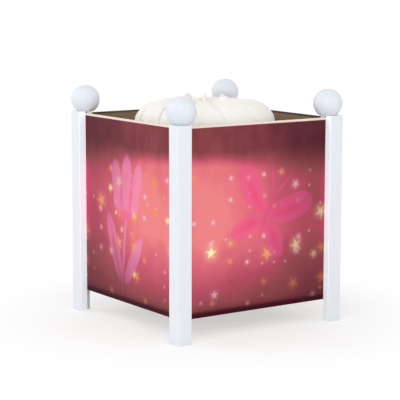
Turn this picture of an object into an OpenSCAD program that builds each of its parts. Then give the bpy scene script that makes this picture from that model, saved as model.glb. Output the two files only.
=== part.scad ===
// Square table lantern with a drum that turns in the warm air of its bulb.
// The frame is +Z up, with its origin on the table under the middle of the lantern.
// The corner at -X -Y is the front one; the panels face -X, -Y, +X and +Y.

/* [Posts] */
// Width of the lantern over the posts
body_w = 162; // [140:1:240]
// Side of a post
post_w = 13; // [12:0.5:20]
// Height of a post
post_h = 171; // [160:1:240]
// Rounding of a post's edges
post_edge_r = 0.9; // [0.3:0.1:1.5]
// Depth of a panel behind the posts' outer faces
panel_inset = 6.5; // [5:0.1:7.5]
// Depth of the groove that takes a panel's edge
groove_d = 2.2; // [1.5:0.1:2.4]
// Clear height under the board and the panels
foot_h = 18.5; // [10:0.5:40]

/* [Finials] */
// Diameter of a ball finial
ball_d = 23.8; // [20:0.1:32]
// Distance of a ball's axis from the posts' outer faces
ball_inset = 9; // [8.6:0.1:9.6]
// Height of a ball's centre over its flat seat
ball_rise = 9.7; // [8:0.1:12]
// Diameter of a finial's dowel
dowel_d = 3.4; // [2.5:0.1:3.6]
// Depth of a dowel in the post
dowel_depth = 14; // [6:0.5:25]
// Depth of a dowel in the ball
dowel_in_ball = 9; // [4:0.5:12]

/* [Panels] */
// Thickness of a panel
panel_t = 1.5; // [0.8:0.1:2.5]
// Height of a panel
panel_h = 150.8; // [120:0.1:152]

/* [Board] */
// Thickness of the base board
board_t = 4.5; // [3:0.1:8]
// Diameter of a board screw's shank
board_screw_d = 2; // [1.5:0.1:2.4]
// Length of a board screw
board_screw_l = 14; // [10:0.5:20]
// Diameter of a board screw's countersunk head
board_screw_head_d = 4; // [3:0.1:5]
// Distance of the cord gland's axis from the posts' outer faces, along X and along Y
gland_inset = 31; // [22:0.5:35]
// Diameter of the cord's bore in the gland
gland_bore_d = 5.2; // [4:0.1:7]
// Diameter of the gland's neck in the board
gland_neck_d = 9; // [8:0.1:12]
// Diameter of the gland's flanges
gland_flange_d = 12.4; // [10:0.1:15]
// Thickness of a gland flange
gland_flange_t = 1.2; // [0.8:0.1:2]
// Bevel of the gland's upper flange
gland_bevel = 0.5; // [0.2:0.1:0.8]
// Width of a screw's driver slot
driver_slot_w = 0.6; // [0.4:0.1:0.8]

/* [Lampholder] */
// Diameter of the mounting plate
plate_d = 42; // [36:1:50]
// Thickness of the mounting plate
plate_t = 1.2; // [0.8:0.1:2]
// Distance of a plate screw from the axis
plate_screw_r = 17.6; // [16.8:0.1:18.5]
// Diameter of a plate screw's shank
plate_screw_d = 2.4; // [2:0.1:3]
// Diameter of a plate screw's head
plate_screw_head_d = 4.6; // [4:0.1:5]
// Outside diameter of the holder's body
holder_d = 28; // [26:0.5:29]
// Height of the holder's body
holder_h = 47; // [40:0.5:60]
// Wall of the holder's body
holder_wall = 4.2; // [3:0.1:5]
// Height of the wiring room in the holder's foot
wiring_h = 13; // [8:0.5:18]
// Thickness of the floor over the wiring room
holder_floor_t = 5; // [3:0.5:8]
// Wall of the threaded sleeve
sleeve_t = 0.5; // [0.3:0.1:0.8]
// Height of the threaded sleeve
sleeve_h = 21; // [15:0.5:22]
// Depth of the sleeve's rim under the holder's top
sleeve_depth = 1; // [0.5:0.1:2]
// Width of the slot for the leads
lead_slot_w = 7; // [4:0.5:8]
// Height of the slot for the leads
lead_slot_h = 8; // [4:0.5:10]
// Height of the narrower collar at the holder's top
collar_h = 14; // [8:0.5:20]
// How much narrower the collar is than the body, on each side
collar_step = 2; // [0.5:0.1:2.5]
// Diameter of the contact's rivet
rivet_d = 2; // [1.5:0.1:3]

/* [Bulb] */
// Diameter of the glass ball
bulb_d = 45; // [36:1:50]
// Diameter of the glass neck
bulb_neck_d = 12.4; // [10:0.1:13]
// Thickness of the glass
bulb_wall = 0.9; // [0.6:0.1:1.5]
// Height of the glass ball's centre over the cap's lower rim
bulb_rise = 49; // [45:0.5:60]
// Diameter over the cap's thread
cap_d = 13.9; // [12:0.1:14.5]
// Height of the cap
cap_h = 22; // [20:0.5:26]
// Thickness of the cap's metal
cap_wall = 0.5; // [0.3:0.1:0.8]
// Reach of the contact tip under the cap
tip_reach = 3; // [2:0.1:5]
// Depth of the glass neck in the cap
neck_in_cap = 4; // [2:0.5:8]
// Pitch of the cap's thread
thread_pitch = 2.82; // [2:0.01:4]
// Depth of the cap's thread
thread_depth = 0.45; // [0.2:0.05:0.6]
// Diameter of the glass stem
stem_d = 5; // [4:0.1:6]
// Diameter of the filament and its supports
filament_d = 0.6; // [0.4:0.1:1]
// Distance between the filament's supports
filament_span = 13; // [8:0.5:18]
// Height of the filament's ends over the stem
support_h = 12; // [8:0.5:14]

/* [Bridge] */
// Diameter of the bridge's wire
wire_d = 2.4; // [1.5:0.1:3]
// Distance of a bridge leg from the axis
bridge_r = 34; // [28:0.5:42]
// Height of the bridge's bar over the table
bridge_h = 151; // [146:0.5:156]
// Bend radius of the bridge's wire
bend_r = 12; // [6:0.5:18]
// Diameter of the needle's boss
boss_d = 6.4; // [5:0.1:8]
// Length of the boss under and over the bar's axis
boss_reach = 5; // [3:0.5:6]
// Diameter of the needle
needle_d = 1.8; // [1.2:0.1:2]
// Length of the needle's cone
needle_tip = 4; // [2:0.5:6]
// Diameter of the needle's point
needle_point_d = 0.3; // [0.1:0.1:0.6]

/* [Drum] */
// Outside diameter of the printed film
film_d = 103; // [90:1:110]
// Thickness of the film
film_t = 0.5; // [0.4:0.1:1]
// Clear height between the board and the drum
drum_clear = 6; // [3:0.5:12]
// Height of the film's top over the table
film_top = 134; // [110:1:140]
// Width of a ring's wall
ring_t = 1.2; // [0.8:0.1:2]
// Height of a ring
ring_h = 5; // [3:0.5:8]
// Diameter of the hub
hub_d = 17; // [14:0.5:24]
// Height of the hub
hub_h = 9; // [8:0.5:14]
// Height of the hub's top over the table
hub_top = 180.5; // [176:0.5:190]
// Wall of the hub round the bearing cup
hub_wall = 1.6; // [1:0.1:3]
// Height of the hub's rim, which carries the vanes
hub_rim_h = 2.5; // [1.5:0.1:4]
// Height of the hub's rounded top over its rim
hub_dome_h = 2; // [1:0.1:3]
// Outside diameter of the bearing cup
cup_d = 5; // [4.4:0.1:7]
// Height of the bearing cup over its flange
cup_h = 7; // [5:0.5:8]
// Diameter of the bearing cup's flange
cup_flange_d = 9; // [7:0.5:13]
// Thickness of the bearing cup's flange
cup_flange_t = 1.2; // [0.8:0.1:2]
// Thickness of the bearing cup over the needle's tip
cup_roof_t = 1.5; // [1:0.1:2]
// How far the top ring reaches over the film
ring_lap = 2; // [1:0.5:3]

/* [Vanes] */
// Number of vanes
vane_count = 12; // [8:1:14]
// Thickness of a vane
vane_t = 0.8; // [0.6:0.1:1.2]
// Diameter of the crown where it bulges most
crown_d = 113; // [106:0.5:120]
// Turn of a vane between the drum's wall and the hub, in degrees; below zero it turns the other way
vane_swirl = -18; // [-60:1:60]
// Rise of a vane's leading edge over its middle line
vane_lift = 2.1; // [1:0.1:3]
// Rise of the crown's flatter part over the vanes' seat on the hub
vane_dome = 3.4; // [1:0.1:6]
// Width of a vane as a share of its place in the crown
vane_cover = 1.18; // [1.05:0.01:1.3]

/* [Fits] */
// Gap between a panel and its groove, on each side
panel_fit = 0.05; // [0.02:0.01:0.2]
// Radial gap round a dowel, a screw, a wire or a neck
pin_fit = 0.05; // [0.02:0.01:0.15]
// Radial gap of the bearing cup on the needle and in the hub
bearing_fit = 0.08; // [0.03:0.01:0.1]
// Radial gap between the bulb's cap and the sleeve
cap_fit = 0.3; // [0.2:0.05:0.5]
// Gap between two parts that only face each other
face_gap = 0.3; // [0.1:0.05:0.5]

/* [Hidden] */
$fn = 64;
eps = 0.01;
half_w = body_w / 2;
gland_xy = half_w - gland_inset;
white_paint = [0.93, 0.95, 0.98];

// Places that follow from the sizes above
groove_low = panel_inset - panel_fit;
groove_high = panel_inset + panel_t + panel_fit;
board_w = body_w - 2 * (groove_high + panel_fit);
board_top = foot_h + board_t;
panel_w = body_w - 2 * (post_w - groove_d + panel_fit);
lip_mid = (groove_high + post_w) / 2;
plate_top = board_top + plate_t;
holder_top = plate_top + holder_h;
wiring_d = holder_d - 2 * holder_wall;
floor_low = plate_top + wiring_h;
well_low = floor_low + holder_floor_t;
sleeve_low = holder_top - sleeve_depth - sleeve_h;
sleeve_r = cap_d / 2 + cap_fit;
cap_low = sleeve_low;
cap_r = cap_d / 2;
neck_r = bulb_neck_d / 2;
neck_low = cap_low + cap_h - neck_in_cap;
bulb_z = cap_low + bulb_rise;
stem_top = bulb_z - support_h;
hub_low = hub_top - hub_h;
cup_low = hub_low - cup_flange_t;
needle_top = hub_low + cup_h - cup_roof_t;
film_low = board_top + drum_clear;
film_r = film_d / 2;
ring_r = film_r + pin_fit + ring_t;
ring_low = film_top - ring_h + ring_lap;
vane_pitch = 360 / vane_count;
crown_r = crown_d / 2;
vane_low = film_top + ring_lap + face_gap + vane_t / 2;
vane_in = hub_d / 2 + face_gap;
rim_low = hub_top - hub_dome_h - hub_rim_h;
vane_seat = rim_low + hub_rim_h / 2;
vane_cols = 4;

// Points of an arc about c, from angle a to angle b
function arc(c, r, a, b, n = 4) =
    [for (i = [0 : n]) c + r * [cos(a + (b - a) * i / n), sin(a + (b - a) * i / n)]];

// Draws its child in each of the four corners, turned to that corner
module in_corners() {
    for (turn = [0 : 90 : 270]) rotate([0, 0, turn]) children();
}

// ---- Posts ----

// Section of a post over the board, with its outer corner at the origin
module post_section() {
    r = post_edge_r;
    w = post_w;
    deep = w - groove_d;
    polygon(concat(
        arc([r, r], r, 180, 270),
        arc([w - r, r], r, 270, 360),
        [[w, groove_low], [deep, groove_low], [deep, groove_high], [w, groove_high]],
        [[w, w]],
        [[groove_high, w], [groove_high, deep], [groove_low, deep], [groove_low, w]],
        arc([r, w - r], r, 90, 180)
    ));
}

// Section of a post's foot: the corner behind the panels is cut away for the board
module foot_section() {
    r = post_edge_r;
    w = post_w;
    polygon(concat(
        arc([r, r], r, 180, 270),
        arc([w - r, r], r, 270, 360),
        [[w, groove_low], [groove_low, groove_low], [groove_low, w]],
        arc([r, w - r], r, 90, 180)
    ));
}

// A post with its outer corner at -X -Y
module post_piece() {
    color(white_paint)
    translate([-half_w, -half_w, 0])
    difference() {
        union() {
            linear_extrude(board_top) foot_section();
            translate([0, 0, board_top]) linear_extrude(post_h - board_top) post_section();
        }
        translate([ball_inset, ball_inset, post_h - dowel_depth])
            cylinder(d = dowel_d + 2 * pin_fit, h = dowel_depth + 1, $fn = 32);
        translate([lip_mid, lip_mid, foot_h])
            cylinder(d = board_screw_d + 2 * pin_fit, h = board_screw_l + face_gap, $fn = 32);
    }
}

module post_front() { post_piece(); }
module post_right() { rotate([0, 0, 90]) post_piece(); }
module post_back() { rotate([0, 0, 180]) post_piece(); }
module post_left() { rotate([0, 0, 270]) post_piece(); }

// ---- Finials ----

// A ball with a flat seat and a blind hole, over the front post
module finial_piece() {
    axis_xy = ball_inset - half_w;
    color(white_paint)
    translate([axis_xy, axis_xy, post_h])
    difference() {
        translate([0, 0, ball_rise]) sphere(d = ball_d);
        translate([-ball_d, -ball_d, -2 * ball_d]) cube(2 * ball_d);
        translate([0, 0, -1]) cylinder(d = dowel_d + 2 * pin_fit, h = dowel_in_ball + 1, $fn = 32);
    }
}

module finial_front() { finial_piece(); }
module finial_right() { rotate([0, 0, 90]) finial_piece(); }
module finial_back() { rotate([0, 0, 180]) finial_piece(); }
module finial_left() { rotate([0, 0, 270]) finial_piece(); }

module finial_dowels() {
    axis_xy = ball_inset - half_w;
    color([0.85, 0.72, 0.52])
    in_corners()
    translate([axis_xy, axis_xy, post_h - dowel_depth + face_gap])
        cylinder(d = dowel_d, h = dowel_depth + dowel_in_ball - 2 * face_gap, $fn = 32);
}

// ---- Panels ----

// The panel that faces -Y
module panel_piece() {
    color([0.72, 0.3, 0.33])
    translate([-panel_w / 2, panel_inset - half_w, foot_h])
        cube([panel_w, panel_t, panel_h]);
}

module panel_right_front() { panel_piece(); }
module panel_right_back() { rotate([0, 0, 90]) panel_piece(); }
module panel_left_back() { rotate([0, 0, 180]) panel_piece(); }
module panel_left_front() { rotate([0, 0, 270]) panel_piece(); }

// ---- Board ----

module base_board() {
    color([0.86, 0.82, 0.74])
    difference() {
        translate([-board_w / 2, -board_w / 2, foot_h]) cube([board_w, board_w, board_t]);
        in_corners() translate([lip_mid - half_w, lip_mid - half_w, foot_h]) {
            translate([0, 0, -1]) cylinder(d = board_screw_d + 2 * pin_fit, h = board_t + 2, $fn = 32);
            translate([0, 0, -eps])
                cylinder(d1 = board_screw_head_d + 2 * pin_fit, d2 = board_screw_d + 2 * pin_fit,
                    h = (board_screw_head_d - board_screw_d) / 2 + eps, $fn = 32);
        }
        translate([gland_xy, gland_xy, foot_h - 1])
            cylinder(d = gland_neck_d + 2 * pin_fit, h = board_t + 2);
        for (x = [-bridge_r, bridge_r]) translate([x, 0, foot_h - 1])
            cylinder(d = wire_d + 2 * pin_fit, h = board_t + 2, $fn = 32);
        for (y = [-plate_screw_r, plate_screw_r]) translate([0, y, foot_h - 1])
            cylinder(d = plate_screw_d + 2 * pin_fit, h = board_t + 2, $fn = 32);
    }
}

// Countersunk screws, driven up through the board into the posts
module board_screws() {
    head_h = (board_screw_head_d - board_screw_d) / 2;
    color([0.7, 0.7, 0.72])
    in_corners() translate([lip_mid - half_w, lip_mid - half_w, foot_h]) difference() {
        union() {
            cylinder(d1 = board_screw_head_d, d2 = board_screw_d, h = head_h, $fn = 32);
            cylinder(d = board_screw_d, h = board_screw_l, $fn = 32);
        }
        for (turn = [0, 90]) rotate([0, 0, turn])
            translate([-board_screw_head_d * 0.3, -driver_slot_w / 2, -eps])
                cube([board_screw_head_d * 0.6, driver_slot_w, head_h * 0.6]);
    }
}

// Rubber bush that takes the cord through the board
module cord_gland() {
    color([0.9, 0.9, 0.9])
    translate([gland_xy, gland_xy, 0]) rotate_extrude()
        polygon([
            [gland_bore_d / 2, foot_h - gland_flange_t],
            [gland_flange_d / 2, foot_h - gland_flange_t],
            [gland_flange_d / 2, foot_h],
            [gland_neck_d / 2, foot_h],
            [gland_neck_d / 2, board_top],
            [gland_flange_d / 2, board_top],
            [gland_flange_d / 2 - gland_bevel, board_top + gland_flange_t],
            [gland_bore_d / 2, board_top + gland_flange_t]
        ]);
}

// ---- Lampholder ----

module holder_plate() {
    color([0.75, 0.76, 0.78])
    difference() {
        translate([0, 0, board_top]) cylinder(d = plate_d, h = plate_t);
        for (y = [-plate_screw_r, plate_screw_r]) translate([0, y, board_top - 1])
            cylinder(d = plate_screw_d + 2 * pin_fit, h = plate_t + 2, $fn = 32);
        translate([0, 0, board_top - 1]) cylinder(d = wiring_d / 2, h = plate_t + 2);
    }
}

// Round-headed screws that hold the plate to the board
module plate_screws() {
    head_h = plate_screw_head_d * 0.4;
    color([0.7, 0.7, 0.72])
    for (y = [-plate_screw_r, plate_screw_r]) translate([0, y, 0]) difference() {
        union() {
            translate([0, 0, foot_h + face_gap])
                cylinder(d = plate_screw_d, h = board_t + plate_t, $fn = 32);
            translate([0, 0, plate_top]) cylinder(d = plate_screw_head_d, h = head_h, $fn = 32);
        }
        translate([-plate_screw_head_d, -driver_slot_w / 2, plate_top + head_h * 0.5])
            cube([2 * plate_screw_head_d, driver_slot_w, head_h]);
    }
}

// Moulded body: a wiring room below, a floor, and the well for the sleeve
module holder_body() {
    out_r = holder_d / 2;
    collar_r = out_r - collar_step;
    well_r = sleeve_r + sleeve_t + pin_fit;
    color([0.92, 0.9, 0.86])
    difference() {
        rotate_extrude() polygon([
            [wiring_d / 2, plate_top], [out_r, plate_top],
            [out_r, holder_top - collar_h - collar_step], [collar_r, holder_top - collar_h],
            [collar_r, holder_top - 1], [collar_r - 1, holder_top],
            [well_r, holder_top], [well_r, well_low],
            [0, well_low], [0, floor_low],
            [wiring_d / 2, floor_low]
        ]);
        // slot for the leads, from the wiring room out to the side
        translate([1, -lead_slot_w / 2, plate_top - eps])
            cube([out_r, lead_slot_w, lead_slot_h]);
        translate([0, 0, floor_low - 1])
            cylinder(d = rivet_d + 2 * pin_fit, h = holder_floor_t + 2, $fn = 32);
    }
}

module holder_sleeve() {
    color([0.8, 0.66, 0.36])
    translate([0, 0, sleeve_low]) difference() {
        cylinder(r = sleeve_r + sleeve_t, h = sleeve_h);
        translate([0, 0, -1]) cylinder(r = sleeve_r, h = sleeve_h + 2);
    }
}

// Brass post on a riveted disc, at the well's floor
module holder_contact() {
    contact_top = cap_low - tip_reach - face_gap;
    color([0.8, 0.66, 0.36]) {
        translate([0, 0, floor_low - rivet_d])
            cylinder(d = rivet_d, h = well_low - floor_low + rivet_d + eps, $fn = 32);
        translate([0, 0, well_low]) cylinder(d = 3 * rivet_d, h = rivet_d / 3, $fn = 32);
        translate([0, 0, well_low]) cylinder(d = 1.5 * rivet_d, h = contact_top - well_low, $fn = 32);
    }
}

// ---- Bulb ----

// Wall of a rolled screw thread: the radius swings by depth over each half pitch
function thread_wall(r, depth, low, high, n) =
    [for (i = [0 : n]) [r - depth * (i % 2), low + (high - low) * i / n]];

module bulb_glass() {
    color([1, 0.93, 0.8, 0.6])
    difference() {
        union() {
            translate([0, 0, bulb_z]) sphere(d = bulb_d, $fn = 96);
            translate([0, 0, neck_low]) cylinder(r = neck_r, h = bulb_z - neck_low);
        }
        translate([0, 0, bulb_z]) sphere(d = bulb_d - 2 * bulb_wall, $fn = 96);
        translate([0, 0, neck_low - 1]) cylinder(r = neck_r - bulb_wall, h = bulb_z - neck_low);
    }
}

module bulb_cap() {
    turns = floor((cap_h - neck_in_cap - thread_pitch) / thread_pitch);
    low = cap_low + thread_pitch;
    tip_r = cap_r * 0.35;
    inside = cap_r - thread_depth - cap_wall;
    color([0.78, 0.78, 0.8])
    rotate_extrude() polygon(concat(
        [[0, cap_low - tip_reach], [tip_r * 0.8, cap_low - tip_reach * 0.8], [tip_r, cap_low - tip_reach * 0.3],
         [cap_r * 0.65, cap_low], [cap_r - thread_depth, low - thread_pitch / 4]],
        thread_wall(cap_r, thread_depth, low, low + turns * thread_pitch, 2 * turns),
        [[cap_r, cap_low + cap_h], [neck_r + pin_fit, cap_low + cap_h],
         [neck_r + pin_fit, neck_low - face_gap], [inside, neck_low - face_gap],
         [inside, cap_low + thread_pitch], [0, cap_low + thread_pitch]]
    ));
}

// Glass stem, from the neck's lower end up into the ball
module bulb_stem() {
    flare_r = neck_r - bulb_wall - pin_fit;
    color([0.9, 0.93, 0.95, 0.6])
    translate([0, 0, neck_low]) {
        cylinder(r1 = flare_r, r2 = stem_d / 2, h = stem_d, $fn = 32);
        cylinder(d = stem_d, h = stem_top - neck_low, $fn = 32);
    }
}

// Two supports and the coiled filament's arc between them
module bulb_filament() {
    half = filament_span / 2;
    foot = stem_d / 4;
    low = stem_top + face_gap;
    lean = atan((half - foot) / (bulb_z - low));
    color([0.55, 0.5, 0.45]) {
        for (side = [-1, 1]) translate([side * foot, 0, low]) rotate([0, side * lean, 0])
            cylinder(d = filament_d, h = (bulb_z - low) / cos(lean), $fn = 16);
        translate([0, 0, bulb_z]) rotate([90, 0, 0])
            rotate_extrude(angle = 180) translate([half, 0]) circle(d = filament_d, $fn = 16);
    }
}

// ---- Bridge and needle ----

module wire_bridge() {
    wire_r = wire_d / 2;
    color([0.75, 0.76, 0.78]) {
        for (side = [-1, 1]) {
            translate([side * bridge_r, 0, foot_h])
                cylinder(r = wire_r, h = bridge_h - bend_r - foot_h, $fn = 32);
            translate([side * (bridge_r - bend_r), 0, bridge_h - bend_r])
                rotate([90, side > 0 ? 0 : -90, 0])
                rotate_extrude(angle = 90) translate([bend_r, 0]) circle(r = wire_r, $fn = 32);
        }
        translate([bend_r - bridge_r, 0, bridge_h]) rotate([0, 90, 0])
            cylinder(r = wire_r, h = 2 * (bridge_r - bend_r), $fn = 32);
    }
}

module needle_boss() {
    color([0.8, 0.66, 0.36])
    translate([0, 0, bridge_h]) difference() {
        translate([0, 0, -boss_reach]) cylinder(d = boss_d, h = 2 * boss_reach, $fn = 48);
        translate([-boss_d, 0, 0]) rotate([0, 90, 0])
            cylinder(d = wire_d + 2 * pin_fit, h = 2 * boss_d, $fn = 32);
        translate([0, 0, wire_d / 2 + face_gap])
            cylinder(d = needle_d + 2 * pin_fit, h = boss_reach, $fn = 32);
    }
}

module pivot_needle() {
    low = bridge_h + wire_d / 2 + 2 * face_gap;
    color([0.82, 0.83, 0.85])
    rotate_extrude($fn = 32) polygon([
        [0, low], [needle_d / 2, low],
        [needle_d / 2, needle_top - needle_tip], [needle_point_d / 2, needle_top], [0, needle_top]
    ]);
}

// ---- Drum ----

// Thimble that turns on the needle and carries the hub on its flange
module bearing_cup() {
    bore_r = needle_d / 2 + bearing_fit;
    cone_low = needle_top - needle_tip;
    color([0.8, 0.66, 0.36])
    rotate_extrude($fn = 48) polygon([
        [bore_r, cup_low], [cup_flange_d / 2, cup_low],
        [cup_flange_d / 2, hub_low], [cup_d / 2, hub_low],
        [cup_d / 2, hub_low + cup_h], [0, hub_low + cup_h],
        [0, needle_top + bearing_fit], [needle_point_d / 2 + bearing_fit, needle_top + bearing_fit],
        [bore_r, cone_low + bearing_fit]
    ]);
}

module drum_hub() {
    out_r = hub_d / 2;
    bore_r = cup_d / 2 + bearing_fit;
    bore_top = hub_low + cup_h + bearing_fit;
    wall_r = bore_r + hub_wall;
    color([0.96, 0.95, 0.92])
    rotate_extrude() polygon(concat(
        [[bore_r, hub_low], [wall_r, hub_low], [wall_r, rim_low], [out_r, rim_low]],
        [for (t = [0 : 15 : 90]) [out_r * cos(t), rim_low + hub_rim_h + hub_dome_h * sin(t)]],
        [[0, bore_top], [bore_r, bore_top]]
    ));
}

// Middle line of a vane, from the drum's wall over the shoulder to the hub, as
// [share of the way from the wall out to the bulge, share of the rise to the hub]
vane_shoulder = [[0, 0], [0.55, 0.31], [1, 0.61], [0.8, 0.78], [-0.13, 0.92], [-1.52, 1.02]];
// The flatter part, as [share of the way from the hub out to the bulge, share of its rise over the seat]
vane_top = [[0.41, 1], [0.17, 14 / 17], [0, 0]];
vane_line = concat(
    [for (p = vane_shoulder) [film_r + p[0] * (crown_r - film_r), vane_low + p[1] * (vane_seat - vane_low)]],
    [for (p = vane_top) [vane_in + p[0] * (crown_r - vane_in), vane_seat + p[1] * vane_dome]]
);
vane_rows = len(vane_line) - 1;
// Width of a vane at its two ends, as a share of its place: next to its neighbours, clear of them
end_cover = 0.98;

// Lift, turn and width of a vane at row i, from the drum's wall to the hub
function lift_at(i) = vane_lift * sin(180 * i / vane_rows);
function swirl_at(i) = vane_swirl * pow(i / vane_rows, 1.5);
function cover_at(i) = end_cover + (vane_cover - end_cover) * sin(180 * i / vane_rows);

// A point of the vane's surface: row i along it, w from -1 to 1 across it, out by h
function vane_point(i, w, h) =
    let (
        r = vane_line[i][0],
        z = vane_line[i][1],
        before = vane_line[max(i - 1, 0)],
        after = vane_line[min(i + 1, vane_rows)],
        way = after - before,
        out = [way[1], -way[0]] / norm(way),
        rise = h + w * lift_at(i),
        a = swirl_at(i) + w * cover_at(i) * vane_pitch / 2,
        q = [r, z] + rise * out
    )
    [q[0] * cos(a), q[0] * sin(a), q[1]];

module vane() {
    m = vane_cols + 1;
    n = vane_rows + 1;
    points = [for (h = [-vane_t / 2, vane_t / 2]) for (i = [0 : vane_rows]) for (j = [0 : vane_cols])
        vane_point(i, 2 * j / vane_cols - 1, h)];
    top = m * n;
    faces = concat(
        [for (i = [0 : vane_rows - 1]) for (j = [0 : vane_cols - 1]) for (half = [0, 1])
            let (a = i * m + j, b = a + 1, c = a + m, d = c + 1)
            half == 0 ? [a, b, d] : [a, d, c]],
        [for (i = [0 : vane_rows - 1]) for (j = [0 : vane_cols - 1]) for (half = [0, 1])
            let (a = top + i * m + j, b = a + 1, c = a + m, d = c + 1)
            half == 0 ? [a, d, b] : [a, c, d]],
        [for (i = [0 : vane_rows - 1]) for (half = [0, 1])
            let (a = i * m, c = a + m)
            half == 0 ? [a, c, c + top] : [a, c + top, a + top]],
        [for (i = [0 : vane_rows - 1]) for (half = [0, 1])
            let (a = i * m + vane_cols, c = a + m)
            half == 0 ? [a, c + top, c] : [a, a + top, c + top]],
        [for (j = [0 : vane_cols - 1]) for (half = [0, 1])
            half == 0 ? [j, j + 1 + top, j + 1] : [j, j + top, j + 1 + top]],
        [for (j = [0 : vane_cols - 1]) for (half = [0, 1])
            let (a = vane_rows * m + j, b = a + 1)
            half == 0 ? [a, b, b + top] : [a, b + top, a + top]]
    );
    polyhedron(points, faces);
}

module drum_vanes() {
    color([0.96, 0.95, 0.9])
    for (k = [0 : vane_count - 1]) rotate([0, 0, k * vane_pitch]) vane();
}

module drum_film() {
    color([0.95, 0.6, 0.62, 0.7])
    translate([0, 0, film_low]) difference() {
        cylinder(r = film_r, h = film_top - film_low, $fn = 128);
        translate([0, 0, -1]) cylinder(r = film_r - film_t, h = film_top - film_low + 2, $fn = 128);
    }
}

// A ring round one end of the film
module ring(low) {
    color([0.96, 0.95, 0.92])
    translate([0, 0, low]) difference() {
        cylinder(r = ring_r, h = ring_h, $fn = 128);
        translate([0, 0, -1]) cylinder(r = film_r + pin_fit, h = ring_h + 2, $fn = 128);
    }
}

module drum_top_ring() { ring(ring_low); }
module drum_bottom_ring() { ring(film_low); }

base_board();
board_screws();
post_front();
post_right();
post_back();
post_left();
finial_front();
finial_right();
finial_back();
finial_left();
finial_dowels();
panel_left_front();
panel_right_front();
panel_right_back();
panel_left_back();
cord_gland();
holder_plate();
plate_screws();
holder_body();
holder_sleeve();
holder_contact();
bulb_glass();
bulb_cap();
bulb_stem();
bulb_filament();
wire_bridge();
needle_boss();
pivot_needle();
bearing_cup();
drum_hub();
drum_vanes();
drum_film();
drum_top_ring();
drum_bottom_ring();
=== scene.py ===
"""Dresses a packed lantern: ball finials, printed panels, folded crown, lit bulb, plain studio."""

import math

import bmesh
import bpy
from bpy.props import FloatProperty, FloatVectorProperty, IntProperty, PointerProperty
from mathutils import Matrix, Vector


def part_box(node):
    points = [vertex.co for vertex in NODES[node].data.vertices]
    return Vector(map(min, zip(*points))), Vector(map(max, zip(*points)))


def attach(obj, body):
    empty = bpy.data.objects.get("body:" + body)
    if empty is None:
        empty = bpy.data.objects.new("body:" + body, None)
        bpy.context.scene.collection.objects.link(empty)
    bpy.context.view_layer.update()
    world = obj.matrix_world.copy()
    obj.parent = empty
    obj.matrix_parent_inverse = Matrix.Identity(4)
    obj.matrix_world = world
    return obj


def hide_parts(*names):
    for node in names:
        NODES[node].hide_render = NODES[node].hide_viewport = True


bl_info = {
    "name": "Turning lantern",
    "version": (1, 0, 0),
    "blender": (4, 5, 0),
    "location": "View3D > Sidebar > Lantern",
    "description": "Finishes a table lantern whose printed drum turns over its bulb",
    "category": "Object",
}

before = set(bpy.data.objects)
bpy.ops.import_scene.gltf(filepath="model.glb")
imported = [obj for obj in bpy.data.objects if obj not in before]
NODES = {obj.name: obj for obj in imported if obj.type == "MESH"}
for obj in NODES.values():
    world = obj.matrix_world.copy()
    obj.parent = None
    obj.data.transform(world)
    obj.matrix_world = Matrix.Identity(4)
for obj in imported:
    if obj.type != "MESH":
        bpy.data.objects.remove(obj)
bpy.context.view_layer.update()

MM = 0.001
HALF_WIDTH = 81 * MM        # half the lantern's width over its posts
POST_SIDE = 68 * MM         # from the lantern's middle to the posts' sides beside the panels
CORNERS = {"front": 0, "right": 90, "back": 180, "left": 270}
# Each panel: the turn that brings it to the -Y side, the side of its brighter end, the share of
# painted light and of the painted pink glow at its other end, and its motif
PANELS = {
    "panel_right_front": (0, -1, 0.43, 0.3, "butterfly"),
    "panel_left_front": (90, 1, 0.52, 0.75, "tulip"),
    "panel_left_back": (180, -1, 0.48, 0.3, "balloon"),
    "panel_right_back": (-90, 1, 0.48, 0.75, "moon"),
}


# ---- Sizes and colours ----


def linear(colour_value):
    """A screen colour such as "f2868a", or a colour that is linear already, as linear RGB."""
    if not isinstance(colour_value, str):
        return tuple(colour_value)
    parts = [int(colour_value[i:i + 2], 16) / 255 for i in (0, 2, 4)]
    return tuple(p / 12.92 if p <= 0.04045 else ((p + 0.055) / 1.055) ** 2.4 for p in parts)


def length(name, description, default, low, high):
    """A length's property, from values in mm."""
    return FloatProperty(name=name, description=description, default=default * MM, min=low * MM,
                         max=high * MM, unit="LENGTH", precision=4)


def colour(name, description, code):
    return FloatVectorProperty(name=name, description=description, default=linear(code), size=3,
                               min=0, max=1, subtype="COLOR")


class LanternSizes(bpy.types.PropertyGroup):
    """Sizes of the pieces that are made here"""

    ball_d: length("Ball", "Diameter of a ball on a post", 23.8, 20, 32)
    ball_inset: length("Ball inset", "Distance of a ball's axis from the posts' outer faces",
                       9, 8.6, 9.6)
    ball_rise: length("Ball rise", "Height of a ball's centre over the post", 9.7, 8, 12)
    vane_t: length("Vane sheet", "Thickness of a vane's sheet", 0.5, 0.3, 0.8)
    vane_lift: length("Vane lift", "Rise of a vane's leading edge", 2.1, 1, 3)
    vane_crease: length("Vane crease", "Height of the crease along a vane", 2.2, 0, 3)
    vane_tip: length("Vane tip", "Height of a vane's pointed tip at the hub", 4.8, 0, 6)
    vane_hem: length("Vane hem", "Depth of the fold along a vane's leading edge", 1.9, 0, 3)
    vane_pairs: IntProperty(name="Vane pairs", description="Half the number of vanes",
                            default=6, min=4, max=7)
    vane_swirl: FloatProperty(name="Vane swirl", unit="ROTATION",
                              description="Turn of a vane between the drum's wall and the hub",
                              default=math.radians(-18), min=-1.05, max=1.05)
    bulb_d: length("Bulb", "Diameter of the glass ball", 45, 36, 50)
    thread_pitch: length("Thread pitch", "Pitch of the bulb's thread", 2.82, 2, 4)


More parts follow.
